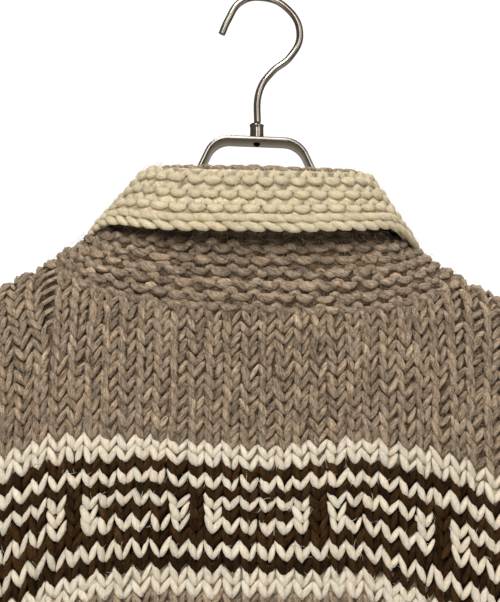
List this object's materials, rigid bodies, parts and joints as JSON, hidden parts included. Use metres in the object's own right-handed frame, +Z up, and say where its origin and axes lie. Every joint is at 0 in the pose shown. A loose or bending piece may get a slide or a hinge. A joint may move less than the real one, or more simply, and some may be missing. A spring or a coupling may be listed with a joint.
{
  "type": "cowichan cardigan on a metal hanger",
  "caption": "Thick hand-knitted shawl-collar cardigan with a banded geometric pattern across the yoke, a buttoned front and ribbed cuffs, hanging on a flat-bar metal hanger.",
  "frame": {"origin": "inside top of the hanger's hook, where it bears on a rail", "axes": "+Z up, the garment's front faces -Y, the wearer's left is +X"},
  "size_m": [0.7448, 0.136, 0.8125],
  "materials": {
    "taupe_wool": "hand-spun wool, matt",
    "cream_wool": "hand-spun wool, matt",
    "dark_wood": "turned, oiled",
    "satin_nickel": "satin nickel plate"
  },
  "bodies": {
    "root": {"back": "taupe_wool", "back_welt": "taupe_wool", "front_left": "taupe_wool", "front_right": "taupe_wool", "front_welt_left": "taupe_wool", "front_welt_right": "taupe_wool", "band_left": "taupe_wool", "band_right": "taupe_wool", "collar": "taupe_wool", "collar_border": "cream_wool", "sleeve_left": "taupe_wool", "sleeve_right": "taupe_wool", "cuff_left": "taupe_wool", "cuff_right": "taupe_wool", "button_1": "dark_wood", "button_2": "dark_wood", "button_3": "dark_wood", "button_4": "dark_wood", "button_5": "dark_wood", "hanger_bar": "satin_nickel", "hanger_ferrule": "satin_nickel", "hanger_hook": "satin_nickel"}
  },
  "joints": []
}
